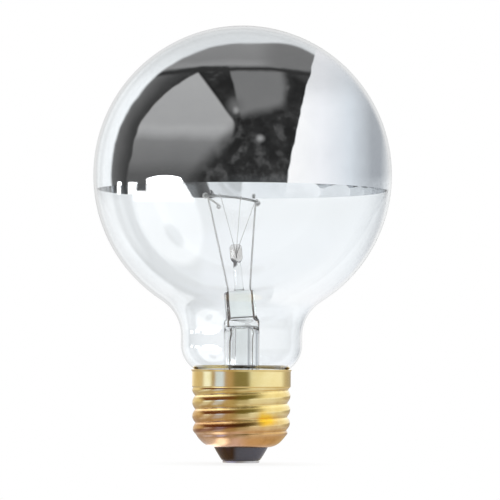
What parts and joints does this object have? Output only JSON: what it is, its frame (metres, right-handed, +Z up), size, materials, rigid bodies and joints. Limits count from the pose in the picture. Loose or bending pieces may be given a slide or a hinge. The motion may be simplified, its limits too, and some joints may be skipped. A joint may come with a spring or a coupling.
{
  "type": "incandescent bulb",
  "caption": "Clear globe lamp with a mirrored upper half, a glass stem carrying a hooked filament, and a brass screw cap with a black insulator.",
  "frame": {"origin": "middle of the flat centre contact, at the bottom of the screw cap, where the lamp seats in its holder", "axes": "+Z up the lamp's axis from the contact to the crown of the globe, -Y towards the viewer of the picture, +X to the right"},
  "size_m": [0.08, 0.08, 0.117],
  "materials": {
    "clear_glass": "clear blown soda-lime glass, gloss",
    "stem_glass": "clear pressed lead glass, gloss",
    "mirror_film": "silver film inside the glass, polished",
    "copper_clad_wire": "drawn, dull red where sealed in glass",
    "nickel_wire": "drawn nickel, satin",
    "molybdenum_wire": "drawn, grey satin",
    "tungsten_coil": "fine coil, dark grey",
    "copper_wire": "drawn copper, satin",
    "cap_brass": "rolled brass sheet, bright, a little tarnished low down",
    "cement": "baked basing cement, matt",
    "black_glass": "opaque black pressed glass, gloss",
    "tinned_contact": "tinned brass, satin",
    "solder": "tin solder, smooth with a dull skin"
  },
  "bodies": {
    "root": {"glass_bulb": "clear_glass", "stem_flare": "stem_glass", "exhaust_tube": "stem_glass", "button_rod": "stem_glass", "seal_wire_right": "copper_clad_wire", "seal_wire_left": "copper_clad_wire", "inner_lead_right": "nickel_wire", "inner_lead_left": "nickel_wire", "support_wire_1": "molybdenum_wire", "support_wire_2": "molybdenum_wire", "support_wire_3": "molybdenum_wire", "filament": "tungsten_coil", "outer_lead_centre": "copper_wire", "outer_lead_side": "copper_wire", "screw_shell": "cap_brass", "basing_cement": "cement", "insulator": "black_glass", "centre_contact": "tinned_contact", "centre_solder": "solder", "side_solder": "solder"}
  },
  "joints": []
}
